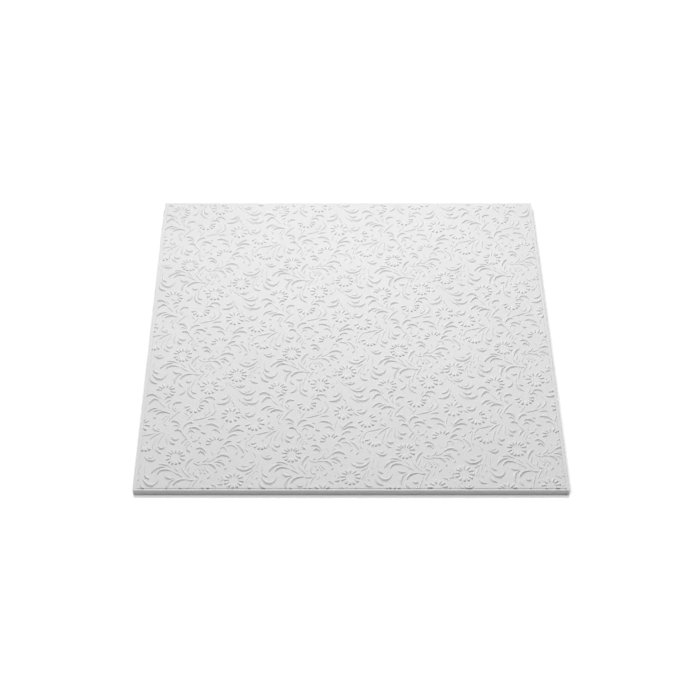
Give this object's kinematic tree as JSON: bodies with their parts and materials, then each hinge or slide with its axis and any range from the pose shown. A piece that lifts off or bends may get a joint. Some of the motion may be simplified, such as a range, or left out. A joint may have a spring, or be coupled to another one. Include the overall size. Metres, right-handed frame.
{
  "type": "polystyrene ceiling tile",
  "caption": "Square white foam ceiling tile with a plain border and an embossed repeat of daisies and curling leaves; glued flat to a ceiling, edge to edge.",
  "frame": {"origin": "middle of the flat back face, the face that is glued to the ceiling", "axes": "+Z out of the embossed face, +Y towards the top of the pattern, +X to its right"},
  "size_m": [0.5, 0.5, 0.01],
  "materials": {
    "foam": "matte white expanded foam with a fine bead grain"
  },
  "bodies": {
    "root": {"tile": "foam"}
  },
  "joints": []
}
